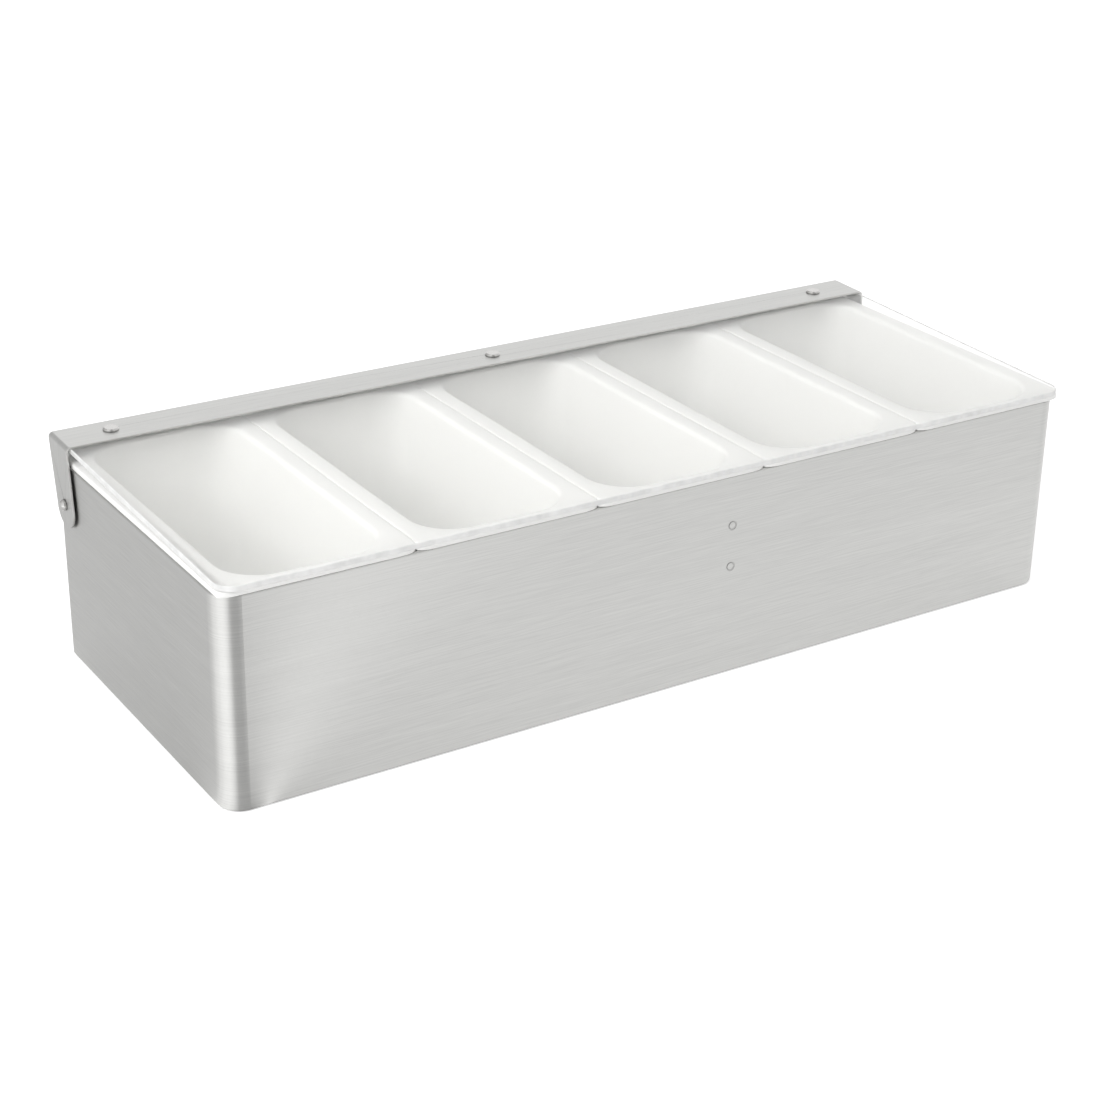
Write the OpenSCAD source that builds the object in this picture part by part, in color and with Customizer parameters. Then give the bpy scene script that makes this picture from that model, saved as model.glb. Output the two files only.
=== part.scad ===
// Condiment caddy: a steel housing with lift-out tubs under one clear hinged lid.
// Origin at the middle of the underside, +X along the length, -Y to the front, +Z up.

/* [Housing] */
// Outer length of the housing, along X
box_len = 470; // [400:5:560]
// Outer depth of the housing, along Y
box_depth = 178; // [150:1:220]
// Height of the housing from its underside to its rim
box_height = 104; // [96:1:130]
// Thickness of the steel sheet
sheet_t = 1; // [0.8:0.1:1.4]
// Outer radius of the two front vertical corners
corner_r = 11; // [8:0.5:18]
// Outer radius of the bend between floor and walls
foot_r = 2; // [1.6:0.2:4]
// Height of the folded hem below the rim
hem_h = 7; // [5:0.5:12]
// Thickness across the folded hem
hem_t = 2.2; // [1.8:0.1:3]
// Width of the flanges that join the back panel to the side walls
flange_w = 16; // [15:0.5:24]

/* [Front strap] */
// Distance of the strap's middle from the middle of the front wall
strap_x = 29; // [-60:1:60]
// Width of the strap
strap_w = 16; // [10:1:30]
// Height of the strap
strap_h = 50; // [36:1:60]
// Depth of the strap's top edge below the hem
strap_down = 4; // [1:0.5:8]
// Distance between the two weld spots
weld_pitch = 21.3; // [12:0.1:30]
// Diameter of the ring pressed into the wall by each weld
weld_d = 5; // [3:0.5:8]
// Width of that ring
weld_ring = 0.6; // [0.4:0.1:1]
// Depth of that ring
weld_deep = 0.15; // [0.1:0.05:0.3]

/* [Tubs] */
// Number of tubs side by side
tub_count = 5; // [3:1:6]
// Thickness of the lip around a tub
lip_t = 2.6; // [2:0.2:4]
// How far the lips stand out over the front and back walls
lip_over = 0.6; // [0:0.1:2]
// How far the outermost lips stop short of the outer face of the side walls
lip_short = 0.7; // [0.2:0.1:2]
// Gap between the lips of two neighbours
lip_gap = 0.3; // [0.2:0.1:1]
// Radius of the outer corners of a lip
lip_r = 8.5; // [3:0.5:10]
// Width of the lip beside the opening, left and right
lip_side = 10; // [8:0.5:14]
// Width of the lip in front of and behind the opening
lip_end = 5.6; // [5.4:0.2:9]
// Wall thickness of a tub
tub_t = 1.6; // [1.2:0.1:2]
// Depth of a tub inside, from the top of its lip
tub_deep = 82; // [60:1:84]
// Draft of the tub walls, in degrees
tub_draft = 3; // [1:0.5:5]
// Radius of the vertical corners at the opening
tub_corner = 20; // [18:1:26]
// Radius between the walls and the floor
tub_cove = 15; // [8:1:15]

/* [Lid] */
// Thickness of the clear plate
lid_t = 2.8; // [2:0.2:5]
// How far the plate stops short of the outer face of each side wall
lid_in = 0.5; // [0:0.1:2]
// How far the plate stands out in front of the front wall
lid_front = 2; // [1:0.1:8]
// Radius of the plate's corners
lid_corner = 9; // [4:1:14]
// Gap between the closed plate and the front lips
lid_rest_gap = 0.3; // [0.2:0.1:0.6]

/* [Hinge] */
// Width of the steel bar
bar_w = 22.3; // [18:0.1:30]
// How far the bar stands out behind the back wall while the plate is level
bar_back = 6.8; // [5:0.1:12]
// Thickness of the bar and its ears
bar_t = 1; // [0.8:0.1:1.6]
// Inner radius of the bends between bar and ears
bend_r = 1.4; // [1:0.1:2]
// Width of the plate's margin behind the rear edge of the bar
lid_under = 3; // [1:0.5:5]
// Height of the lid's underside above the pin axis
lid_rise = 27.4; // [26:0.2:34]
// Distance of the pin axis in front of the back wall's outer face
pin_in = 9.5; // [6:0.5:11]
// Depth of the pin axis below the rim
pin_down = 20; // [17:0.5:22]
// Radius of the rounded end of an ear
ear_r = 10; // [8:0.2:12]
// Depth of that end's middle below the pin axis
ear_drop = 1.5; // [0:0.1:3]
// Radius of a pivot pin
pin_r = 2; // [1.5:0.1:2.6]
// Running clearance around a pivot pin
pin_fit = 0.05; // [0.02:0.01:0.1]
// Radius of the pin's outer head
pin_head_r = 2.8; // [2.6:0.1:4]
// Height of the pin's outer head
pin_head_h = 2.2; // [1:0.1:3]
// Radius of the pin's tail inside the housing
pin_tail_r = 3.2; // [2.8:0.1:4]
// Height of the pin's tail
pin_tail_h = 1.2; // [0.8:0.1:2]
// Radius of the spacer between ear and wall
spacer_r = 3.6; // [3:0.1:5]
// Side play of an ear between the spacer and the pin's head, on each side
ear_play = 0.2; // [0.1:0.05:0.4]

/* [Rivets] */
// Distance of the outer rivets from the housing's ends
rivet_in = 25; // [15:1:60]
// Radius of a rivet's head
rivet_head_r = 3.8; // [3:0.1:5]
// Height of a rivet's head
rivet_head_h = 1.4; // [1:0.1:2]
// Width of the bevel around a rivet's head
rivet_bevel = 0.6; // [0.2:0.1:0.8]
// Radius of a rivet's shank
rivet_r = 2; // [1.5:0.1:2.4]
// Clearance around a rivet's shank
rivet_fit = 0.1; // [0.05:0.05:0.3]
// Radius of the washer under the plate
washer_r = 4.6; // [4:0.1:6]
// Thickness of that washer
washer_t = 0.8; // [0.5:0.1:1.2]
// Radius of a rivet's tail under the washer
rivet_tail_r = 3.1; // [2.6:0.1:3.8]
// Height of a rivet's tail
rivet_tail_h = 1; // [0.6:0.1:1.4]

/* [Hidden] */
// Smoothness of round shapes
$fn = 64;
// Straight steps in each quarter turn of a computed outline
arc_steps = 6;
// Overlap that keeps a cut clear of the face it starts from
cut = 1;
half_len = box_len / 2;
half_depth = box_depth / 2;
rim_r = hem_t / 2;
hem_foot = box_height - hem_h;
strap_top = hem_foot - strap_down;
weld_z = strap_top - (strap_h - weld_pitch) / 2;
// The lips share the length between the side walls
lip_run = box_len - 2 * lip_short;
tub_pitch = (lip_run + lip_gap) / tub_count;
lip_w = tub_pitch - lip_gap;
lip_len = box_depth + 2 * lip_over;
lip_top = box_height + lip_t;
mouth_w = lip_w - 2 * lip_side;
mouth_len = lip_len - 2 * lip_end;
tub_floor = lip_top - tub_deep;
// The pin axis
pin_y = half_depth - pin_in;
pin_z = box_height - pin_down;
// The plate tips forward about the pin axis until its front rests on the lips
rest_reach = pin_y + half_depth + lip_over;
rest_height = lip_top + lid_rest_gap - pin_z;
lid_lean = atan2(lid_rise, rest_reach) - asin(rest_height / norm([lid_rise, rest_reach]));
// Lid sizes, in a frame at the pin axis with the plate level
lid_w = box_len - 2 * lid_in;
lid_y0 = -half_depth - lid_front - pin_y;
lid_y1 = half_depth + bar_back - lid_under - pin_y;
bar_y1 = half_depth + bar_back - pin_y;
bar_y0 = bar_y1 - bar_w;
bar_mid = (bar_y0 + bar_y1) / 2;
bar_z = lid_rise + lid_t;
// The ears start where the bends leave the plate's ends
ear_in = lid_w / 2 + bend_r;
ear_out = ear_in + bar_t;
spacer_t = ear_in - half_len - ear_play;

// Points of an arc about [x, y], from angle a0 to angle a1
function arc(x, y, r, a0, a1) = [
  for (i = [0:arc_steps])
    let (a = a0 + (a1 - a0) * i / arc_steps)
    [x + r * cos(a), y + r * sin(a)]
];

// Points of a level rectangle w by l with corners of radius r, at height z
function ring(w, l, r, z) = [
  for (q = [0:3])
    for (i = [0:arc_steps])
      let (
        a = 90 * (q + i / arc_steps),
        x = (q == 0 || q == 3) ? w / 2 - r : r - w / 2,
        y = (q < 2) ? l / 2 - r : r - l / 2
      )
      [x + r * cos(a), y + r * sin(a), z]
];

// Flat outline w by l with corners of radius r
module rounded_outline(w, l, r) {
  union() {
    square([w - 2 * r, l], center = true);
    square([w, l - 2 * r], center = true);
    for (x = [-1, 1])
      for (y = [-1, 1])
        translate([x * (w / 2 - r), y * (l / 2 - r)])
          circle(r);
  }
}

// Closed solid through a stack of rings with equal numbers of points
module loft(rings) {
  n = len(rings[0]);
  last = len(rings) - 1;
  sides = [
    for (k = [0:last - 1])
      for (i = [0:n - 1])
        let (j = (i + 1) % n)
        each [
          [k * n + i, (k + 1) * n + i, (k + 1) * n + j],
          [k * n + i, (k + 1) * n + j, k * n + j]
        ]
  ];
  bottom = [for (i = [0:n - 1]) i];
  top = [for (i = [n - 1:-1:0]) last * n + i];
  polyhedron(points = [for (r = rings) each r], faces = concat([bottom, top], sides));
}

// Section through floor strip, foot bend, wall and hem, measured outwards from a corner's centre
module wall_section() {
  bend_x = corner_r - foot_r;
  polygon(concat(
    [[0, 0]],
    arc(bend_x, foot_r, foot_r, -90, 0),
    arc(corner_r - rim_r, box_height - rim_r, rim_r, 0, 180),
    [[corner_r - hem_t, hem_foot], [corner_r - sheet_t, hem_foot]],
    arc(bend_x, foot_r, foot_r - sheet_t, 0, -90),
    [[0, sheet_t]]
  ));
}

// A straight stretch of wall that faces -Y, from x0 to x1, with its corner centres at y
module wall_run(x0, x1, y) {
  translate([x0, y, 0])
    rotate([90, 0, 90])
      mirror([1, 0, 0])
        linear_extrude(x1 - x0)
          wall_section();
}

// Hole for a pivot pin through everything near the side wall on side s
module pin_hole(s) {
  translate([s * half_len, pin_y, pin_z])
    rotate([0, 90, 0])
      cylinder(r = pin_r + pin_fit, h = 4 * hem_t, center = true);
}

// Floor, front wall and side walls of one sheet, with a hem around the rim
module shell() {
  run_x = half_len - corner_r;
  run_y = half_depth - corner_r;
  color("silver")
    difference() {
      union() {
        wall_run(-run_x, run_x, -run_y);
        for (s = [-1, 1]) {
          translate([s * run_x, -run_y, 0])
            rotate([0, 0, s > 0 ? -90 : 180])
              rotate_extrude(angle = 90)
                wall_section();
          translate([s * run_x, s > 0 ? -run_y : half_depth, 0])
            rotate([0, 0, s * 90])
              wall_run(0, run_y + half_depth, 0);
        }
        translate([-run_x, -run_y, 0])
          cube([2 * run_x, run_y + half_depth, sheet_t]);
      }
      for (s = [-1, 1])
        pin_hole(s);
      for (k = [0, 1])
        weld_mark(k);
    }
}

// Ring pressed into the front wall by weld spot k, counted from the top
module weld_mark(k) {
  translate([strap_x, -half_depth + weld_deep, weld_z - k * weld_pitch])
    rotate([90, 0, 0])
      difference() {
        cylinder(d = weld_d, h = weld_deep + cut);
        translate([0, 0, -cut])
          cylinder(d = weld_d - 2 * weld_ring, h = weld_deep + 3 * cut);
      }
}

// Back wall with its own hem and two flanges inside the side walls
module back_panel() {
  wide = half_len - sheet_t;
  narrow = half_len - foot_r;
  under_hem = half_len - hem_t;
  inner_y = half_depth - sheet_t;
  color("silver")
    difference() {
      union() {
        translate([0, half_depth, 0])
          rotate([90, 0, 0])
            linear_extrude(sheet_t)
              polygon([
                [-narrow, sheet_t], [narrow, sheet_t], [narrow, foot_r], [wide, foot_r],
                [wide, hem_foot], [-wide, hem_foot], [-wide, foot_r], [-narrow, foot_r]
              ]);
        translate([-under_hem, 0, 0])
          rotate([90, 0, 90])
            linear_extrude(2 * under_hem)
              polygon(concat(
                arc(half_depth - rim_r, box_height - rim_r, rim_r, 0, 180),
                [[half_depth - hem_t, hem_foot], [half_depth, hem_foot]]
              ));
        for (s = [-1, 1])
          translate([s > 0 ? wide - sheet_t : -wide, half_depth - flange_w, foot_r + sheet_t])
            cube([sheet_t, flange_w - sheet_t / 2, hem_foot - foot_r - 2 * sheet_t]);
        translate([-narrow + sheet_t, half_depth - flange_w, sheet_t])
          cube([2 * (narrow - sheet_t), flange_w - sheet_t / 2, sheet_t]);
      }
      for (s = [-1, 1])
        pin_hole(s);
    }
}

// Stiffening strap welded inside the front wall
module front_strap() {
  color("silver")
    translate([strap_x - strap_w / 2, sheet_t - half_depth, strap_top - strap_h])
      cube([strap_w, sheet_t, strap_h]);
}

// Inside or, grown by the wall, outside form of a tub, up to height z1
module tub_form(grow, z1) {
  slope = tan(tub_draft);
  floor_z = tub_floor - grow;
  cove = tub_cove + grow;
  rise = lip_top - floor_z - cove;
  w = mouth_w + 2 * (grow - rise * slope);
  l = mouth_len + 2 * (grow - rise * slope);
  r = tub_corner + grow - rise * slope;
  in_top = (lip_top - z1) * slope - grow;
  loft(concat(
    [
      for (i = [0:arc_steps])
        let (a = 90 * i / arc_steps, in = cove * (1 - sin(a)))
        ring(w - 2 * in, l - 2 * in, max(r - in, 1), floor_z + cove * (1 - cos(a)))
    ],
    [ring(mouth_w - 2 * in_top, mouth_len - 2 * in_top, tub_corner - in_top, z1)]
  ));
}

// Tub number k, counted from 0 at the left
module tub(k) {
  color("white")
    translate([(k - (tub_count - 1) / 2) * tub_pitch, 0, 0])
      difference() {
        union() {
          translate([0, 0, box_height])
            linear_extrude(lip_t)
              rounded_outline(lip_w, lip_len, lip_r);
          tub_form(tub_t, box_height + lip_t / 2);
        }
        tub_form(0, lip_top + cut);
      }
}

// Places the lid's pieces, which are drawn with the plate level and the pin axis at the origin
module on_hinge() {
  translate([0, pin_y, pin_z])
    rotate([lid_lean, 0, 0])
      children();
}

// Positions of the rivets along X
function rivet_x(k) = k * (half_len - rivet_in);

// Clear plate over all the tubs
module lid_plate() {
  color("azure", 0.35)
    on_hinge()
      difference() {
        translate([0, (lid_y0 + lid_y1) / 2, lid_rise])
          linear_extrude(lid_t)
            rounded_outline(lid_w, lid_y1 - lid_y0, lid_corner);
        for (k = [-1, 0, 1])
          translate([rivet_x(k), bar_mid, lid_rise - cut])
            cylinder(r = rivet_r + rivet_fit, h = lid_t + 2 * cut);
      }
}

// Section through the bar, its bends and its ears, in the plane of X and Z
module bar_section() {
  inner_z = bar_z - bend_r;
  outer_r = bend_r + bar_t;
  low = -ear_drop - ear_r;
  polygon(concat(
    [[ear_out, low]],
    arc(ear_in - bend_r, inner_z, outer_r, 0, 90),
    arc(bend_r - ear_in, inner_z, outer_r, 90, 180),
    [[-ear_out, low], [-ear_in, low]],
    arc(bend_r - ear_in, inner_z, bend_r, 180, 90),
    arc(ear_in - bend_r, inner_z, bend_r, 90, 0),
    [[ear_in, low]]
  ));
}

// Outline of bar and ear seen along X: full width at the bar, round about the pin
module ear_outline() {
  union() {
    translate([0, -ear_drop])
      circle(ear_r);
    polygon([
      [-ear_r, -ear_drop], [ear_r, -ear_drop], [bar_y1, bar_z - bend_r], [bar_y1, bar_z + cut + bar_t],
      [bar_y0, bar_z + cut + bar_t], [bar_y0, bar_z - bend_r]
    ]);
  }
}

// Bar across the back of the lid, with an ear bent down at each end
module hinge_bar() {
  color("gainsboro")
    on_hinge()
      difference() {
        intersection() {
          translate([0, bar_y1 + cut, 0])
            rotate([90, 0, 0])
              linear_extrude(max(bar_w, bar_y1 + ear_r) + 2 * cut)
                bar_section();
          translate([-ear_out - cut, 0, 0])
            rotate([90, 0, 90])
              linear_extrude(2 * (ear_out + cut))
                ear_outline();
        }
        for (k = [-1, 0, 1])
          translate([rivet_x(k), bar_mid, bar_z - cut])
            cylinder(r = rivet_r + rivet_fit, h = bar_t + 2 * cut);
        for (s = [-1, 1])
          translate([s * ear_in, 0, 0])
            rotate([0, 90, 0])
              cylinder(r = pin_r + pin_fit, h = 4 * bar_t, center = true);
      }
}

// Rivet number k, from -1 at the left to 1 at the right
module rivet(k) {
  head_z = bar_z + bar_t;
  tail_z = lid_rise - washer_t;
  color("lightgrey")
    on_hinge()
      translate([rivet_x(k), bar_mid, 0])
        rotate_extrude()
          polygon([
            [0, tail_z - rivet_tail_h], [rivet_tail_r - rivet_bevel, tail_z - rivet_tail_h],
            [rivet_tail_r, tail_z - rivet_bevel], [rivet_tail_r, tail_z], [rivet_r, tail_z],
            [rivet_r, head_z], [rivet_head_r, head_z],
            [rivet_head_r, head_z + rivet_head_h - rivet_bevel],
            [rivet_head_r - rivet_bevel, head_z + rivet_head_h], [0, head_z + rivet_head_h]
          ]);
}

// Washer between the plate and the tail of rivet k
module washer(k) {
  color("lightgrey")
    on_hinge()
      translate([rivet_x(k), bar_mid, lid_rise - washer_t])
        difference() {
          cylinder(r = washer_r, h = washer_t);
          translate([0, 0, -cut])
            cylinder(r = rivet_r + rivet_fit, h = washer_t + 2 * cut);
        }
}

// Pivot pin on side s, riveted through the side wall and the back panel's flange
module pivot_pin(s) {
  tail_x = half_len - 2 * sheet_t;
  head_x = ear_out + ear_play;
  color("lightgrey")
    translate([0, pin_y, pin_z])
      rotate([0, s * 90, 0])
        rotate_extrude()
          polygon([
            [0, tail_x - pin_tail_h], [pin_tail_r, tail_x - pin_tail_h], [pin_tail_r, tail_x],
            [pin_r, tail_x], [pin_r, head_x], [pin_head_r, head_x],
            [pin_head_r, head_x + pin_head_h / 2],
            [pin_head_r - pin_head_h / 2, head_x + pin_head_h], [0, head_x + pin_head_h]
          ]);
}

// Spacer that holds the ear on side s off the wall
module spacer(s) {
  color("lightgrey")
    translate([0, pin_y, pin_z])
      rotate([0, s * 90, 0])
        translate([0, 0, half_len])
          difference() {
            cylinder(r = spacer_r, h = spacer_t);
            translate([0, 0, -cut])
              cylinder(r = pin_r + pin_fit, h = spacer_t + 2 * cut);
          }
}

shell();
back_panel();
front_strap();
tub(0);  // tub_1
tub(1);  // tub_2
tub(2);  // tub_3
tub(3);  // tub_4
tub(4);  // tub_5
lid_plate();
hinge_bar();
rivet(-1);  // rivet_left
rivet(0);  // rivet_middle
rivet(1);  // rivet_right
washer(-1);  // washer_left
washer(0);  // washer_middle
washer(1);  // washer_right
pivot_pin(-1);  // pivot_pin_left
pivot_pin(1);  // pivot_pin_right
spacer(-1);  // spacer_left
spacer(1);  // spacer_right
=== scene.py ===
"""Condiment caddy in brushed stainless steel, with moulded tubs under one clear hinged lid."""
import logging
import math
from dataclasses import dataclass, field
from enum import Enum
from typing import Any

import bmesh
import bpy
from mathutils import Matrix, Vector


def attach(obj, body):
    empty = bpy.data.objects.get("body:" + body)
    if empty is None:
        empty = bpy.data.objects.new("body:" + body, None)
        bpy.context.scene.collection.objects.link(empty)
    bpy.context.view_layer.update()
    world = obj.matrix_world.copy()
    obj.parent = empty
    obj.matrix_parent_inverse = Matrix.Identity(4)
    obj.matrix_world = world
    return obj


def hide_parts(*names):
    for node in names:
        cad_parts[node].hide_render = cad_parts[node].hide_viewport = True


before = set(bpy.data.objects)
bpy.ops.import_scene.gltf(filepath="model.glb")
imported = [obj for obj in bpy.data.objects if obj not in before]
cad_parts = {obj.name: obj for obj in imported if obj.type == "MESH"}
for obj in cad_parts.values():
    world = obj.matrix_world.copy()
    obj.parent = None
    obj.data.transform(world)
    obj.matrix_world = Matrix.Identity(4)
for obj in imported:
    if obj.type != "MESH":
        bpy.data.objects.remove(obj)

LOG = logging.getLogger("caddy")
MM = 0.001
WHITE = (1.0, 1.0, 1.0, 1.0)
Ring = list[Vector]
Point = tuple[float, float, float]
Sides = tuple[tuple[float, float], ...]

# A noise texture's value stays almost wholly between these two.
NOISE_LOW, NOISE_HIGH = 0.3, 0.7
# Two points of a carried-over mesh closer than this, in metres, are one point.
SAME_POINT = 1e-6
# Edges sharper than this angle get a small rounding, in this many steps.
EASED_DEGREES = 35.0
EASED_STEPS = 2
# Angles, in degrees, at which the roundings of the tubs' lips have their rings.
UPPER_TURN = (0, 22, 45, 67, 90)
UNDER_TURN = (-60, -30, 0)

# Bearing from +X in degrees, and how bright the room is there for glossy rays.
ROOM_SIDES: Sides = (
    (-180.0, 0.95), (-150.0, 1.0), (-135.0, 0.85), (-117.0, 0.42), (-84.0, 0.40), (-66.0, 0.64),
    (-53.0, 1.0), (-41.0, 0.66), (0.0, 0.78), (30.0, 1.0), (78.0, 1.0), (96.0, 0.56),
    (111.0, 0.50), (145.0, 0.65), (165.0, 0.85),
)


def linear(hex_colour: str) -> tuple[float, float, float, float]:
    """Turn an sRGB hex colour into the linear colour that a shader takes.

    Args:
        hex_colour: Six hex digits, such as "C8C8C6".

    Returns:
        Red, green, blue and an alpha of 1.
    """
    def channel(pair: str) -> float:
        """One sRGB channel as a linear value."""
        value = int(pair, 16) / 255
        return value / 12.92 if value <= 0.04045 else ((value + 0.055) / 1.055) ** 2.4

    red, green, blue = (channel(hex_colour[i:i + 2]) for i in (0, 2, 4))
    return red, green, blue, 1.0


def add_node(tree: bpy.types.NodeTree, kind: str, inputs: dict[Any, Any] | None = None,
             **settings: Any) -> bpy.types.Node:
    """Add a node to a tree, with its settings, its values and its incoming links.

    Args:
        tree: The node tree to add to.
        kind: The node's type name.
        inputs: A value or an output socket for each named or numbered input.
        **settings: Attributes of the node itself.

    Returns:
        The new node.
    """
    node = tree.nodes.new(kind)
    for name, value in settings.items():
        setattr(node, name, value)
    for name, value in (inputs or {}).items():
        if isinstance(value, bpy.types.NodeSocket):
            tree.links.new(value, node.inputs[name])
        else:
            node.inputs[name].default_value = value
    return node


def new_material(name: str) -> tuple[bpy.types.Material, bpy.types.NodeTree]:
    """Start an empty node-based material.

    Args:
        name: The material's name.

    Returns:
        The material and its node tree.
    """
    material = bpy.data.materials.new(name)
    material.use_nodes = True
    material.node_tree.nodes.clear()
    return material, material.node_tree


class Across(Enum):
    """Direction in which brush marks lie side by side, as a stretch of each axis."""

    HEIGHT = (0.0, 0.0, 1.0)
    DEPTH = (0.0, 1.0, 0.0)

    def scale(self, along: float, across: float) -> tuple[float, float, float]:
        """Noise scale for each axis, from a low value along the marks and a high one across."""
        return tuple(across if step else along for step in self.value)


class Turned(Enum):
    """Axis round which the brush direction of a piece turns."""

    UPRIGHT = "Z"
    DEPTHWAYS = "Y"


@dataclass(frozen=True)
class PaintedCreaseShade:
    """Painted shade: the metal's colour darkens in seams, between parts and round the feet of fasteners,
    where shade falls.
    """

    # How far out the darkening starts.
    reach_mm: float = 1.2
    # Openness at which the painted shade is darkest, and from which there is none.
    closed: float = 0.15
    unshaded: float = 0.8
    # Tone where it is darkest. In the open the tone is 1.
    darkest: float = 0.5

    def tone(self, tree: bpy.types.NodeTree) -> bpy.types.NodeSocket:
        """Add the painted shade to a material.

        Args:
            tree: The material's node tree.

        Returns:
            The tone to multiply the metal's colour with.
        """
        nook = add_node(tree, "ShaderNodeAmbientOcclusion", {"Distance": self.reach_mm * MM},
                        samples=6)
        return add_node(tree, "ShaderNodeMapRange", {
            "Value": nook.outputs["AO"], "From Min": self.closed, "From Max": self.unshaded,
            "To Min": self.darkest, "To Max": 1.0}).outputs["Result"]


@dataclass(frozen=True)
class SpotWelds:
    """Faint rings that spot welds leave on the outside of a sheet. Sizes in mm."""

    middles: tuple[Point, ...] = ()
    ring: float = 1.9
    half_width: float = 0.45
    darkest: float = 0.55

    def darken(self, tree: bpy.types.NodeTree, place: bpy.types.NodeSocket,
               tone: bpy.types.NodeSocket) -> bpy.types.NodeSocket:
        """Darken a tone along each weld's ring.

        Args:
            tree: The material's node tree.
            place: Coordinates in metres.
            tone: The tone so far.

        Returns:
            The darkened tone.
        """
        for middle_mm in self.middles:
            middle = tuple(value * MM for value in middle_mm)
            reach = add_node(tree, "ShaderNodeVectorMath", {0: place, 1: middle},
                             operation="DISTANCE")
            off = add_node(tree, "ShaderNodeMath", {
                0: reach.outputs["Value"], 1: self.ring * MM}, operation="SUBTRACT")
            off = add_node(tree, "ShaderNodeMath", {0: off.outputs["Value"]},
                           operation="ABSOLUTE")
            ring = add_node(tree, "ShaderNodeMapRange", {
                "Value": off.outputs["Value"], "From Min": 0.0,
                "From Max": self.half_width * MM, "To Min": self.darkest, "To Max": 1.0})
            tone = add_node(tree, "ShaderNodeMath", {0: tone, 1: ring.outputs["Result"]},
                            operation="MULTIPLY").outputs["Value"]
        return tone


@dataclass(frozen=True)
class BrushedStainless:
    """Stainless steel sheet, brushed with a belt: fine parallel marks that draw out every reflection.

    The marks give the eye a soft satin grey with faint streaks, and highlights that spread
    across the grain.
    """

    name: str = "brushed_stainless"
    tint: str = "DADAD8"
    roughness: float = 0.34
    roughness_spread: float = 0.05
    anisotropy: float = 0.8
    across: Across = Across.HEIGHT
    turned: Turned = Turned.UPRIGHT
    # Belt marks are 0.05 mm apart on the real sheet. They are drawn 0.4 mm apart so that they show.
    mark_gap_mm: float = 0.4
    mark_length_mm: float = 24.0
    mark_depth_mm: float = 0.04
    # Broad uneven bands that the belt's edge leaves, and their share in the tone.
    band_gap_mm: float = 9.0
    band_length_mm: float = 192.0
    band_share: float = 0.2
    # Darkest and lightest streak, as a share of the tint.
    darkest: float = 0.90
    lightest: float = 1.07
    # Painted shade in seams, between parts and round fasteners.
    crease_shade: PaintedCreaseShade = PaintedCreaseShade()
    welds: SpotWelds = SpotWelds()

    def build(self) -> bpy.types.Material:
        """Make the material.

        Returns:
            The new material.
        """
        material, tree = new_material(self.name)
        place = add_node(tree, "ShaderNodeTexCoord").outputs["Object"]
        marks = self._streaks(tree, place, self.mark_gap_mm, self.mark_length_mm)
        bands = self._streaks(tree, place, self.band_gap_mm, self.band_length_mm)
        both = add_node(tree, "ShaderNodeMix", {"Factor": self.band_share, "A": marks, "B": bands},
                        data_type="FLOAT")
        tone = add_node(tree, "ShaderNodeMapRange", {
            "Value": both.outputs["Result"], "From Min": NOISE_LOW, "From Max": NOISE_HIGH,
            "To Min": self.darkest, "To Max": self.lightest})
        # The streaks' tone, darkened by the painted shade in seams; the weld rings follow.
        streaked_and_shaded = add_node(tree, "ShaderNodeMath", {
            0: tone.outputs["Result"], 1: self.crease_shade.tone(tree)}, operation="MULTIPLY")
        streaked_and_shaded = self.welds.darken(tree, place, streaked_and_shaded.outputs["Value"])
        colour = add_node(tree, "ShaderNodeMix", {"Factor": 1.0, "A": linear(self.tint), "B": streaked_and_shaded},
                          data_type="RGBA", blend_type="MULTIPLY")
        rough = add_node(tree, "ShaderNodeMapRange", {
            "Value": marks, "From Min": NOISE_LOW, "From Max": NOISE_HIGH,
            "To Min": self.roughness - self.roughness_spread,
            "To Max": self.roughness + self.roughness_spread})
        bump = add_node(tree, "ShaderNodeBump", {
            "Strength": 0.2, "Distance": self.mark_depth_mm * MM, "Height": marks})
        tangent = add_node(tree, "ShaderNodeTangent", direction_type="RADIAL",
                           axis=self.turned.value)
        shader = add_node(tree, "ShaderNodeBsdfPrincipled", {
            "Base Color": colour.outputs["Result"], "Metallic": 1.0,
            "Roughness": rough.outputs["Result"], "Anisotropic": self.anisotropy,
            "Anisotropic Rotation": 0.25, "Tangent": tangent.outputs["Tangent"],
            "Normal": bump.outputs["Normal"]})
        add_node(tree, "ShaderNodeOutputMaterial", {"Surface": shader.outputs["BSDF"]})
        return material

    def _streaks(self, tree: bpy.types.NodeTree, place: bpy.types.NodeSocket, gap_mm: float,
                 length_mm: float) -> bpy.types.NodeSocket:
        """Noise drawn out along the brush marks.

        Args:
            tree: The material's node tree.
            place: Coordinates in metres.
            gap_mm: Distance between neighbouring streaks.
            length_mm: Length of a streak.

        Returns:
            The noise's value.
        """
        scale = self.across.scale(1 / (length_mm * MM), 1 / (gap_mm * MM))
        stretch = add_node(tree, "ShaderNodeMapping", {"Vector": place, "Scale": scale})
        noise = add_node(tree, "ShaderNodeTexNoise", {
            "Vector": stretch.outputs["Vector"], "Scale": 1.0, "Detail": 2.0, "Roughness": 0.6})
        return noise.outputs["Fac"]


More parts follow.
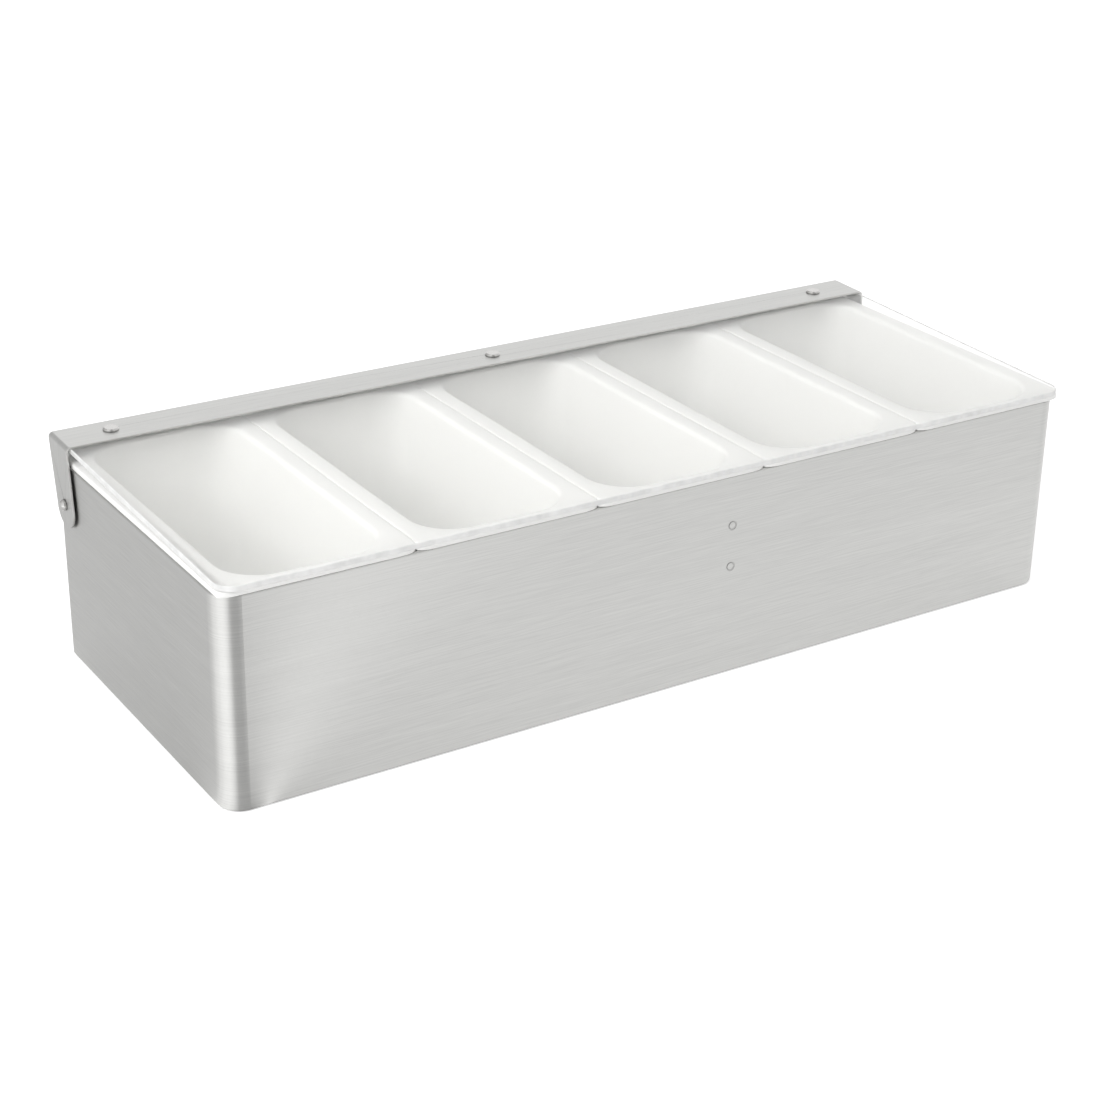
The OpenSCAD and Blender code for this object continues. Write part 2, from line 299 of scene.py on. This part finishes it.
@dataclass(frozen=True)
class HeadedStainless:
    """Stainless steel rivet stock, headed cold: smoother and brighter than the sheet round it.

    The eye gets a small clear highlight on each head; the dark line round its foot is painted shade.
    """

    name: str = "headed_stainless"
    tint: str = "D8D7D5"
    roughness: float = 0.2
    # Light scuffs left by the rivet set, about 0.8 mm across.
    scuff_mm: float = 0.8
    scuff_depth_mm: float = 0.05
    # Painted shade round the foot of each head and in the seams.
    crease_shade: PaintedCreaseShade = PaintedCreaseShade(reach_mm=0.9, closed=0.2, unshaded=0.95, darkest=0.3)

    def build(self) -> bpy.types.Material:
        """Make the material.

        Returns:
            The new material.
        """
        material, tree = new_material(self.name)
        place = add_node(tree, "ShaderNodeTexCoord").outputs["Object"]
        scuffs = add_node(tree, "ShaderNodeTexNoise", {
            "Vector": place, "Scale": 1 / (self.scuff_mm * MM), "Detail": 2.0})
        rough = add_node(tree, "ShaderNodeMapRange", {
            "Value": scuffs.outputs["Fac"], "From Min": NOISE_LOW, "From Max": NOISE_HIGH,
            "To Min": self.roughness - 0.06, "To Max": self.roughness + 0.08})
        bump = add_node(tree, "ShaderNodeBump", {
            "Strength": 0.2, "Distance": self.scuff_depth_mm * MM, "Height": scuffs.outputs["Fac"]})
        colour = add_node(tree, "ShaderNodeMix", {
            "Factor": 1.0, "A": linear(self.tint), "B": self.crease_shade.tone(tree)},
            data_type="RGBA", blend_type="MULTIPLY")
        shader = add_node(tree, "ShaderNodeBsdfPrincipled", {
            "Base Color": colour.outputs["Result"], "Metallic": 1.0,
            "Roughness": rough.outputs["Result"], "Normal": bump.outputs["Normal"]})
        add_node(tree, "ShaderNodeOutputMaterial", {"Surface": shader.outputs["BSDF"]})
        return material


@dataclass(frozen=True)
class MouldedPolypropylene:
    """White polypropylene, injection moulded: a waxy, slightly see-through white.

    Light enters the wall and comes out softened, so edges glow and corners stay pale.
    """

    name: str = "moulded_polypropylene"
    tint: str = "FCFCFA"
    roughness: float = 0.48
    ior: float = 1.49
    # This share of the light travels about 2 mm inside the wall.
    glow_share: float = 0.2
    glow_mm: float = 2.0
    # The mould's fine spark-eroded skin is 0.1 mm. It is drawn at 0.6 mm so that it shows.
    skin_mm: float = 0.6
    skin_depth_mm: float = 0.05
    # The melt flows in patches about 40 mm wide, which differ a little in gloss.
    flow_mm: float = 40.0

    def build(self) -> bpy.types.Material:
        """Make the material.

        Returns:
            The new material.
        """
        material, tree = new_material(self.name)
        place = add_node(tree, "ShaderNodeTexCoord").outputs["Object"]
        skin = add_node(tree, "ShaderNodeTexNoise", {
            "Vector": place, "Scale": 1 / (self.skin_mm * MM), "Detail": 2.0})
        flow = add_node(tree, "ShaderNodeTexNoise", {
            "Vector": place, "Scale": 1 / (self.flow_mm * MM), "Detail": 2.0})
        rough = add_node(tree, "ShaderNodeMapRange", {
            "Value": flow.outputs["Fac"], "From Min": NOISE_LOW, "From Max": NOISE_HIGH,
            "To Min": self.roughness - 0.04, "To Max": self.roughness + 0.05})
        bump = add_node(tree, "ShaderNodeBump", {
            "Strength": 0.12, "Distance": self.skin_depth_mm * MM, "Height": skin.outputs["Fac"]})
        shader = add_node(tree, "ShaderNodeBsdfPrincipled", {
            "Base Color": linear(self.tint), "Roughness": rough.outputs["Result"],
            "IOR": self.ior, "Subsurface Weight": self.glow_share,
            "Subsurface Radius": (1.0, 1.0, 1.0), "Subsurface Scale": self.glow_mm * MM,
            "Normal": bump.outputs["Normal"]})
        add_node(tree, "ShaderNodeOutputMaterial", {"Surface": shader.outputs["BSDF"]})
        return material


@dataclass(frozen=True)
class ClearAcrylic:
    """Clear cast acrylic sheet with polished faces.

    It is nearly invisible from above, and turns to a white sheen where the eye meets it at a low angle.
    """

    name: str = "clear_acrylic"
    tint: str = "FDFDFC"
    roughness: float = 0.03
    ior: float = 1.49
    # Faint wipe marks and handling haze, in patches about 60 mm wide.
    haze_mm: float = 60.0
    # A lamp's light passes the sheet almost unchanged, so its shadow is faint.
    shadow_tint: str = "F6F6F6"

    def build(self) -> bpy.types.Material:
        """Make the material.

        Returns:
            The new material.
        """
        material, tree = new_material(self.name)
        place = add_node(tree, "ShaderNodeTexCoord").outputs["Object"]
        haze = add_node(tree, "ShaderNodeTexNoise", {
            "Vector": place, "Scale": 1 / (self.haze_mm * MM), "Detail": 3.0})
        rough = add_node(tree, "ShaderNodeMapRange", {
            "Value": haze.outputs["Fac"], "From Min": NOISE_LOW, "From Max": NOISE_HIGH,
            "To Min": self.roughness * 0.5, "To Max": self.roughness * 1.5})
        shader = add_node(tree, "ShaderNodeBsdfPrincipled", {
            "Base Color": linear(self.tint), "Roughness": rough.outputs["Result"],
            "IOR": self.ior, "Transmission Weight": 1.0})
        ghost = add_node(tree, "ShaderNodeBsdfTransparent", {"Color": linear(self.shadow_tint)})
        rays = add_node(tree, "ShaderNodeLightPath")
        mix = add_node(tree, "ShaderNodeMixShader", {
            0: rays.outputs["Is Shadow Ray"], 1: shader.outputs["BSDF"],
            2: ghost.outputs["BSDF"]})
        add_node(tree, "ShaderNodeOutputMaterial", {"Surface": mix.outputs["Shader"]})
        return material


@dataclass(frozen=True)
class BuffedAcrylicEdge:
    """Sawn, scraped and buffed edge of the acrylic sheet.

    The pale grey band is painted into the edge's colour: partly its scraped finish, partly painted light
    that stands for the light running inside the sheet and leaving here.
    """

    name: str = "buffed_acrylic_edge"
    tint: str = "F0F0EF"
    roughness: float = 0.28
    ior: float = 1.49
    # The scraper leaves faint waves about 6 mm long.
    wave_mm: float = 6.0

    def build(self) -> bpy.types.Material:
        """Make the material.

        Returns:
            The new material.
        """
        material, tree = new_material(self.name)
        place = add_node(tree, "ShaderNodeTexCoord").outputs["Object"]
        waves = add_node(tree, "ShaderNodeTexNoise", {
            "Vector": place, "Scale": 1 / (self.wave_mm * MM), "Detail": 3.0})
        tone = add_node(tree, "ShaderNodeMapRange", {
            "Value": waves.outputs["Fac"], "From Min": NOISE_LOW, "From Max": NOISE_HIGH,
            "To Min": 0.86, "To Max": 1.04})
        colour = add_node(tree, "ShaderNodeMix", {
            "Factor": 1.0, "A": linear(self.tint), "B": tone.outputs["Result"]},
            data_type="RGBA", blend_type="MULTIPLY")
        shader = add_node(tree, "ShaderNodeBsdfPrincipled", {
            "Base Color": colour.outputs["Result"], "Roughness": self.roughness, "IOR": self.ior})
        add_node(tree, "ShaderNodeOutputMaterial", {"Surface": shader.outputs["BSDF"]})
        return material


def seen_by_gloss(tree: bpy.types.NodeTree, toward: bpy.types.NodeSocket,
                  sides: Sides) -> bpy.types.NodeSocket:
    """Brightness of the room for glossy rays by compass bearing, and 1 for all other rays.

    A room has darker sides, which give metal its soft dark bands.

    Args:
        tree: The node tree to add to.
        toward: Direction from the object.
        sides: Brightness by bearing.

    Returns:
        The brightness.
    """
    parts = add_node(tree, "ShaderNodeSeparateXYZ", {"Vector": toward})
    bearing = add_node(tree, "ShaderNodeMath", {
        0: parts.outputs["Y"], 1: parts.outputs["X"]}, operation="ARCTAN2")
    turn = add_node(tree, "ShaderNodeMapRange", {
        "Value": bearing.outputs["Value"], "From Min": -math.pi, "From Max": math.pi})
    ramp = add_node(tree, "ShaderNodeValToRGB", {"Fac": turn.outputs["Result"]})
    stops = ramp.color_ramp.elements
    stops.remove(stops[1])
    for degrees, level in sides:
        stop = stops.new((degrees + 180) / 360) if degrees > -180 else stops[0]
        stop.color = (level, level, level, 1.0)
    rays = add_node(tree, "ShaderNodeLightPath")
    return add_node(tree, "ShaderNodeMix", {
        "Factor": rays.outputs["Is Glossy Ray"], "A": 1.0, "B": ramp.outputs["Color"]},
        data_type="FLOAT").outputs["Result"]


def seen_by_eye(tree: bpy.types.NodeTree) -> bpy.types.NodeSocket:
    """Tell what the camera sees, straight, by reflection or through glass, from what only lights.

    Args:
        tree: The node tree to add to.

    Returns:
        1 for camera, glossy and transmission rays, and 0 for all others.
    """
    rays = add_node(tree, "ShaderNodeLightPath")
    seen = add_node(tree, "ShaderNodeMath", {
        0: rays.outputs["Is Camera Ray"], 1: rays.outputs["Is Glossy Ray"]}, operation="MAXIMUM")
    return add_node(tree, "ShaderNodeMath", {
        0: seen.outputs["Value"], 1: rays.outputs["Is Transmission Ray"]},
        operation="MAXIMUM").outputs["Value"]


@dataclass(frozen=True)
class StudioPaper:
    """Matt white background paper, which reads as plain white and keeps the object's shadow."""

    name: str = "studio_paper"
    tint: str = "F2F2F2"
    # What the paper adds of its own, where it is seen, to read as white.
    lift: float = 0.45
    # The floor's bearings are taken from the middle of the bend at the housing's front left corner.
    bend: Point = (-0.224, -0.078, 0.0)

    def build(self) -> bpy.types.Material:
        """Make the material.

        Returns:
            The new material.
        """
        material, tree = new_material(self.name)
        place = add_node(tree, "ShaderNodeTexCoord").outputs["Object"]
        away = add_node(tree, "ShaderNodeVectorMath", {0: place, 1: self.bend},
                        operation="SUBTRACT")
        room = seen_by_gloss(tree, away.outputs["Vector"], ROOM_SIDES)
        white = add_node(tree, "ShaderNodeMix", {"Factor": 1.0, "A": linear(self.tint), "B": room},
                         data_type="RGBA", blend_type="MULTIPLY")
        paper = add_node(tree, "ShaderNodeBsdfDiffuse", {"Color": white.outputs["Result"]})
        level = add_node(tree, "ShaderNodeMath", {0: seen_by_eye(tree), 1: self.lift},
                         operation="MULTIPLY")
        level = add_node(tree, "ShaderNodeMath", {0: level.outputs["Value"], 1: room},
                         operation="MULTIPLY")
        glow = add_node(tree, "ShaderNodeEmission", {
            "Color": WHITE, "Strength": level.outputs["Value"]})
        both = add_node(tree, "ShaderNodeAddShader", {
            0: paper.outputs["BSDF"], 1: glow.outputs["Emission"]})
        add_node(tree, "ShaderNodeOutputMaterial", {"Surface": both.outputs["Shader"]})
        return material


def rounded_ring(width: float, length: float, radius: float, z: float, steps: int,
                 shallow: float = 1.0) -> Ring:
    """Points of a level rectangle with rounded corners, in millimetres.

    Args:
        width: Size along X.
        length: Size along Y.
        radius: Corner radius, along X.
        z: Height.
        steps: Straight steps in each corner.
        shallow: The corner's reach along Y as a share of its radius.

    Returns:
        The points, anticlockwise from the right side's far end.
    """
    ring: Ring = []
    deep = radius * shallow
    for quarter in range(4):
        x = width / 2 - radius if quarter in (0, 3) else radius - width / 2
        y = length / 2 - deep if quarter < 2 else deep - length / 2
        for i in range(steps + 1):
            angle = math.radians(90 * (quarter + i / steps))
            ring.append(Vector((x + radius * math.cos(angle), y + deep * math.sin(angle), z)))
    return ring


def lofted(name: str, rings: list[Ring], place: Matrix,
           material: bpy.types.Material) -> bpy.types.Object:
    """Make a closed mesh through a stack of rings and cap both ends.

    Args:
        name: The piece's name.
        rings: Rings of equal length, in millimetres, from the bottom of the surface onwards.
        place: Where the piece stands, in metres.
        material: Its finish.

    Returns:
        The new object, with smooth faces.
    """
    mesh = bmesh.new()
    rows = [[mesh.verts.new(place @ (point * MM)) for point in ring] for ring in rings]
    count = len(rings[0])
    for low, high in zip(rows, rows[1:]):
        for i in range(count):
            j = (i + 1) % count
            mesh.faces.new((low[i], low[j], high[j], high[i]))
    mesh.faces.new(list(reversed(rows[0])))
    mesh.faces.new(rows[-1])
    bmesh.ops.recalc_face_normals(mesh, faces=mesh.faces)
    for face in mesh.faces:
        face.smooth = True
    data = bpy.data.meshes.new(name)
    mesh.to_mesh(data)
    mesh.free()
    data.materials.append(material)
    piece = bpy.data.objects.new(name, data)
    bpy.context.scene.collection.objects.link(piece)
    return piece


def flat_where_sharp(piece: bpy.types.Object, degrees: float = 30.0) -> None:
    """Keep edges sharper than an angle crisp and shade the rest smoothly.

    Args:
        piece: A mesh object.
        degrees: The angle.
    """
    piece.data.set_sharp_from_angle(angle=math.radians(degrees))


def dress(node: str, material: bpy.types.Material, bevel_mm: float) -> None:
    """Give a carried-over CAD node its finish and small worn edges.

    Args:
        node: The node's name.
        material: Its finish.
        bevel_mm: Width of the rounding on its edges.
    """
    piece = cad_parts[node]
    piece.data.materials.clear()
    piece.data.materials.append(material)
    weld = piece.modifiers.new("joined", "WELD")
    weld.merge_threshold = SAME_POINT
    if bevel_mm:
        bevel = piece.modifiers.new("eased_edges", "BEVEL")
        bevel.width = bevel_mm * MM
        bevel.segments = EASED_STEPS
        bevel.limit_method = "ANGLE"
        bevel.angle_limit = math.radians(EASED_DEGREES)
        bevel.harden_normals = True
    LOG.info("%s: %s", node, material.name)


@dataclass(frozen=True)
class CaddySize:
    """Sizes that housing, tubs and lid share, in mm, and what follows from them."""

    length: float = 470.0
    depth: float = 178.0
    height: float = 104.0
    # The tubs' lips stand out this far past the housing, and this high on its rim.
    lip_over: float = 0.6
    lip_thick: float = 2.6
    # The pins lie this far in from the back wall's face, and this far below the rim.
    pin_in: float = 9.5
    pin_down: float = 20.0
    # Height of the plate's underside above the pins, and its play over the lips when closed.
    lid_rise: float = 27.4
    rest_gap: float = 0.3

    @property
    def lip_top(self) -> float:
        """Height of the tubs' lips."""
        return self.height + self.lip_thick

    @property
    def pin_y(self) -> float:
        """Place of the pin axis along the depth."""
        return self.depth / 2 - self.pin_in

    @property
    def pin_z(self) -> float:
        """Height of the pin axis."""
        return self.height - self.pin_down

    @property
    def lean(self) -> float:
        """Angle of the closed lid below level, in radians, with its front just over the lips."""
        reach = self.pin_y + self.depth / 2 + self.lip_over
        rise = self.lip_top + self.rest_gap - self.pin_z
        slant = math.hypot(self.lid_rise, reach)
        return math.atan2(self.lid_rise, reach) - math.asin(rise / slant)

    def closed_lid(self) -> Matrix:
        """Transform from a level lid at the pin axis to the closed lid, in metres."""
        return (Matrix.Translation((0.0, self.pin_y * MM, self.pin_z * MM))
                @ Matrix.Rotation(self.lean, 4, "X"))


@dataclass
class Housing:
    """Steel housing: a wrapped front with sides and floor, a back panel and a strap. Sizes in mm."""

    size: CaddySize
    strap_edge: float = 0.25
    # The strap's two welds stand one above the other in the front wall.
    weld_x: float = 29.0
    weld_top: float = 78.65
    weld_pitch: float = 21.3

    def build(self) -> None:
        """Dress the housing's sheets."""
        welds = tuple((self.weld_x, -self.size.depth / 2, height)
                      for height in (self.weld_top, self.weld_top - self.weld_pitch))
        material = BrushedStainless(welds=SpotWelds(welds)).build()
        for node, edge in (("shell", 0.0), ("back_panel", 0.0), ("front_strap", self.strap_edge)):
            dress(node, material, edge)


@dataclass
class TubRow:
    """The moulded tubs, side by side, with their lips on the housing's rim. Sizes in mm."""

    size: CaddySize
    count: int = 5
    # Play at each end of the row, and between the CAD solids of two neighbours.
    end_play: float = 0.7
    side_play: float = 0.3
    # A moulded lip is this much wider on each side than its CAD solid.
    lip_extra: float = 0.1
    lip_side: float = 10.0
    lip_end: float = 5.6
    lip_corner: float = 8.5
    # Where two lips meet, their corners leave only a shallow notch over the rim.
    lip_shallow: float = 0.35
    mouth_corner: float = 20.0
    least_corner: float = 1.0
    wall: float = 1.6
    deep: float = 82.0
    # Slope of the walls, in degrees, and nearly the same as a share.
    draft: float = 3.0
    taper: float = 0.05
    cove: float = 15.0
    # Fillet between wall and lip, and the roundings of the lip's rim and of the mouth.
    fillet: float = 1.0
    lower_edge: float = 0.4
    upper_edge: float = 0.9
    mouth_edge: float = 2.4
    corner_steps: int = 14
    cove_steps: int = 9
    crisp_degrees: float = 50.0
    plastic: MouldedPolypropylene = field(default_factory=MouldedPolypropylene)

    @property
    def pitch(self) -> float:
        """Distance from tub to tub."""
        return (self.size.length - 2 * self.end_play + self.side_play) / self.count

    @property
    def lip_width(self) -> float:
        """Size of a lip along the row."""
        return self.pitch - self.side_play + 2 * self.lip_extra

    @property
    def lip_length(self) -> float:
        """Size of a lip from front to back."""
        return self.size.depth + 2 * self.size.lip_over

    @property
    def mouth_width(self) -> float:
        """Size of a tub's mouth along the row."""
        return self.pitch - self.side_play - 2 * self.lip_side

    @property
    def mouth_length(self) -> float:
        """Size of a tub's mouth from front to back."""
        return self.lip_length - 2 * self.lip_end

    def build(self) -> None:
        """Make each tub in place of its CAD solid."""
        material = self.plastic.build()
        for k in range(self.count):
            node = f"tub_{k + 1}"
            shift = Matrix.Translation(((k - (self.count - 1) / 2) * self.pitch * MM, 0.0, 0.0))
            piece = lofted(f"moulded_{node}", self._rings(), shift, material)
            flat_where_sharp(piece, self.crisp_degrees)
            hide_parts(node)
            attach(piece, "housing")
            LOG.info("%s: %d faces", piece.name, len(piece.data.polygons))

    def _mouth_ring(self, out: float, z: float) -> Ring:
        """Ring at height z, larger than the mouth by out on every side."""
        return rounded_ring(self.mouth_width + 2 * out, self.mouth_length + 2 * out,
                            max(self.mouth_corner + out, self.least_corner), z,
                            self.corner_steps)

    def _wall_ring(self, grow: float, z: float) -> Ring:
        """Ring at height z on the tapered wall's inner surface, grown outwards."""
        below = self.size.lip_top - z
        return self._mouth_ring(grow - below * math.tan(math.radians(self.draft)), z)

    def _lip_ring(self, drawn: float, z: float) -> Ring:
        """Ring at height z round the lip, drawn in from its rim."""
        return rounded_ring(self.lip_width - 2 * drawn, self.lip_length - 2 * drawn,
                            self.lip_corner - drawn, z, self.corner_steps, self.lip_shallow)

    def _basin(self, grow: float) -> list[Ring]:
        """Rings of floor, cove and the wall's foot, from the floor's middle outwards."""
        floor = self.size.lip_top - self.deep - grow
        cove = self.cove + grow
        rise = self.size.lip_top - floor - cove
        foot = grow - rise * math.tan(math.radians(self.draft))
        rings: list[Ring] = []
        for i in range(self.cove_steps + 1):
            angle = math.radians(90 * i / self.cove_steps)
            rings.append(self._mouth_ring(foot - cove * (1 - math.sin(angle)),
                                          floor + cove * (1 - math.cos(angle))))
        return rings

    def _rings(self) -> list[Ring]:
        """All rings of a tub: up the outside, over the lip and down the inside."""
        rings = self._basin(self.wall)
        foot, top = self.size.height, self.size.lip_top
        for out, down in ((0.0, 1.0), (0.3, 0.3), (1.0, 0.0)):
            rings.append(self._wall_ring(self.wall + out * self.fillet, foot - down * self.fillet))
        under = self.lower_edge
        rings.append(self._lip_ring(under, foot))
        for turn in map(math.radians, UNDER_TURN):
            rings.append(self._lip_ring(under * (1 - math.cos(turn)),
                                        foot + under * (1 + math.sin(turn))))
        over = self.upper_edge
        for turn in map(math.radians, UPPER_TURN):
            rings.append(self._lip_ring(over * (1 - math.cos(turn)),
                                        top - over * (1 - math.sin(turn))))
        round_in = self.mouth_edge
        for turn in map(math.radians, reversed(UPPER_TURN)):
            rings.append(self._wall_ring(round_in * (1 - math.cos(turn) + self.taper),
                                         top - round_in * (1 - math.sin(turn))))
        rings.extend(reversed(self._basin(0.0)))
        return rings


@dataclass
class Lid:
    """The clear plate with its steel bar, rivets and washers. Sizes in mm, plate level at the pin."""

    size: CaddySize
    # The plate stops short of each side wall's face, and reaches past the front and back walls.
    side_in: float = 0.5
    front_over: float = 2.0
    back_over: float = 3.8
    plate_thick: float = 2.8
    plate_corner: float = 9.0
    plate_edge: float = 0.35
    corner_steps: int = 12
    bar_edge: float = 0.2
    rivet_edge: float = 0.1
    acrylic: ClearAcrylic = field(default_factory=ClearAcrylic)
    cut_edge: BuffedAcrylicEdge = field(default_factory=BuffedAcrylicEdge)
    # The bar's painted shade reaches only 0.6 mm, so that its edges stay lit.
    steel: BrushedStainless = field(default_factory=lambda: BrushedStainless(
        name="brushed_stainless_bar", across=Across.DEPTH, turned=Turned.DEPTHWAYS,
        crease_shade=PaintedCreaseShade(reach_mm=0.6)))
    rivet: HeadedStainless = field(default_factory=HeadedStainless)

    def build(self) -> None:
        """Make the plate and dress the metal pieces."""
        self._plate()
        dress("hinge_bar", self.steel.build(), self.bar_edge)
        metal = self.rivet.build()
        for kind in ("rivet", "washer"):
            for side in ("left", "middle", "right"):
                dress(f"{kind}_{side}", metal, self.rivet_edge)

    def _plate(self) -> None:
        """Make the clear plate with eased edges in place of its CAD solid."""
        size, edge = self.size, self.plate_edge
        front = -size.depth / 2 - self.front_over - size.pin_y
        back = size.depth / 2 + self.back_over - size.pin_y
        width, length = size.length - 2 * self.side_in, back - front
        low, high = size.lid_rise, size.lid_rise + self.plate_thick
        rings = [rounded_ring(width - 2 * drawn, length - 2 * drawn,
                              self.plate_corner - drawn, z, self.corner_steps)
                 for drawn, z in ((edge, low), (0.0, low + edge), (0.0, high - edge), (edge, high))]
        place = size.closed_lid() @ Matrix.Translation((0.0, (front + back) / 2 * MM, 0.0))
        piece = lofted("clear_plate", rings, place, self.acrylic.build())
        flat_where_sharp(piece)
        piece.data.materials.append(self.cut_edge.build())
        up = place.to_3x3() @ Vector((0.0, 0.0, 1.0))
        nearly_level = 0.99
        for face in piece.data.polygons:
            face.material_index = 0 if abs(face.normal.dot(up)) > nearly_level else 1
        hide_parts("lid_plate")
        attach(piece, "lid")
        LOG.info("clear_plate: %s", self.acrylic.name)


@dataclass
class Pivots:
    """The two riveted pivot pins and their spacers. Sizes in mm."""

    pin_edge: float = 0.15
    metal: HeadedStainless = field(default_factory=lambda: HeadedStainless(name="pivot_stainless"))

    def build(self) -> None:
        """Dress the pins and spacers."""
        material = self.metal.build()
        for side in ("left", "right"):
            dress(f"pivot_pin_{side}", material, self.pin_edge)
            dress(f"spacer_{side}", material, 0.0)


@dataclass
class SoftBox:
    """A rectangular lamp that faces a point. Metres and watts."""

    name: str
    place: Point
    size: tuple[float, float]
    watts: float
    aim: Point = (0.0, 0.0, 0.05)

    def build(self) -> None:
        """Make the lamp."""
        data = bpy.data.lights.new(self.name, "AREA")
        data.shape = "RECTANGLE"
        data.size, data.size_y = self.size
        data.energy = self.watts
        lamp = bpy.data.objects.new(self.name, data)
        lamp.location = self.place
        away = Vector(self.place) - Vector(self.aim)
        lamp.rotation_mode = "QUATERNION"
        lamp.rotation_quaternion = away.to_track_quat("Z", "Y")
        lamp.visible_glossy = False
        bpy.context.scene.collection.objects.link(lamp)


@dataclass
class Studio:
    """Paper floor, even surrounding light and a soft lamp at the left. Sizes in metres."""

    floor_size: float = 16.0
    # Strength of the even light from all round.
    surround: float = 0.76
    paper: StudioPaper = field(default_factory=StudioPaper)
    lamps: tuple[SoftBox, ...] = (
        SoftBox("key", (-1.8, -0.6, 1.5), (1.4, 1.1), 22.0),
    )

    def build(self) -> None:
        """Make the floor, the surroundings and the lamps."""
        half = self.floor_size / 2
        data = bpy.data.meshes.new("floor")
        data.from_pydata([(-half, -half, 0), (half, -half, 0), (half, half, 0), (-half, half, 0)],
                         [], [(0, 1, 2, 3)])
        data.materials.append(self.paper.build())
        floor = bpy.data.objects.new("floor", data)
        bpy.context.scene.collection.objects.link(floor)
        self._surroundings()
        for lamp in self.lamps:
            lamp.build()
        LOG.info("studio: %d lamps", len(self.lamps))

    def _surroundings(self) -> None:
        """Light from all round, which the camera, metal and glass see as white."""
        world = bpy.data.worlds.new("surroundings")
        world.use_nodes = True
        tree = world.node_tree
        tree.nodes.clear()
        level = add_node(tree, "ShaderNodeMapRange", {
            "Value": seen_by_eye(tree), "To Min": self.surround, "To Max": 1.0})
        room = seen_by_gloss(tree, add_node(tree, "ShaderNodeTexCoord").outputs["Generated"],
                             ROOM_SIDES)
        level = add_node(tree, "ShaderNodeMath", {0: level.outputs["Result"], 1: room},
                         operation="MULTIPLY")
        sky = add_node(tree, "ShaderNodeBackground", {
            "Color": WHITE, "Strength": level.outputs["Value"]})
        add_node(tree, "ShaderNodeOutputWorld", {"Surface": sky.outputs["Background"]})
        bpy.context.scene.world = world


@dataclass
class ProductCamera:
    """Camera that looks down on the caddy from its front left. Metres and radians."""

    place: Point = (-0.572481, -0.870978, 0.513792)
    heading: float = 1.002420
    dip: float = 0.428955
    roll: float = 0.016702
    sensor_mm: float = 36.0
    # Focal length and picture width, both in pixels.
    focal_px: float = 2274.473
    picture_px: float = 1100.0

    def build(self) -> None:
        """Make the camera and make it the scene's own."""
        ahead = Vector((math.cos(self.heading) * math.cos(self.dip),
                        math.sin(self.heading) * math.cos(self.dip), -math.sin(self.dip)))
        level = Vector((math.sin(self.heading), -math.cos(self.heading), 0.0))
        over = level.cross(ahead)
        right = level * math.cos(self.roll) + over * math.sin(self.roll)
        up = over * math.cos(self.roll) - level * math.sin(self.roll)
        data = bpy.data.cameras.new("camera")
        data.sensor_width = self.sensor_mm
        data.lens = self.focal_px / self.picture_px * self.sensor_mm
        data.clip_end = 100.0
        camera = bpy.data.objects.new("camera", data)
        turn = Matrix((right, up, -ahead)).transposed()
        camera.rotation_mode = "QUATERNION"
        camera.rotation_quaternion = turn.to_quaternion()
        camera.location = self.place
        bpy.context.scene.collection.objects.link(camera)
        bpy.context.scene.camera = camera


def main() -> None:
    """Build the caddy, its studio and the camera."""
    logging.basicConfig(level=logging.INFO, format="%(message)s")
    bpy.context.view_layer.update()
    bpy.context.scene.view_settings.view_transform = "Standard"
    ProductCamera().build()
    Studio().build()
    size = CaddySize()
    Housing(size).build()
    TubRow(size).build()
    Lid(size).build()
    Pivots().build()


if __name__ == "__main__":
    main()
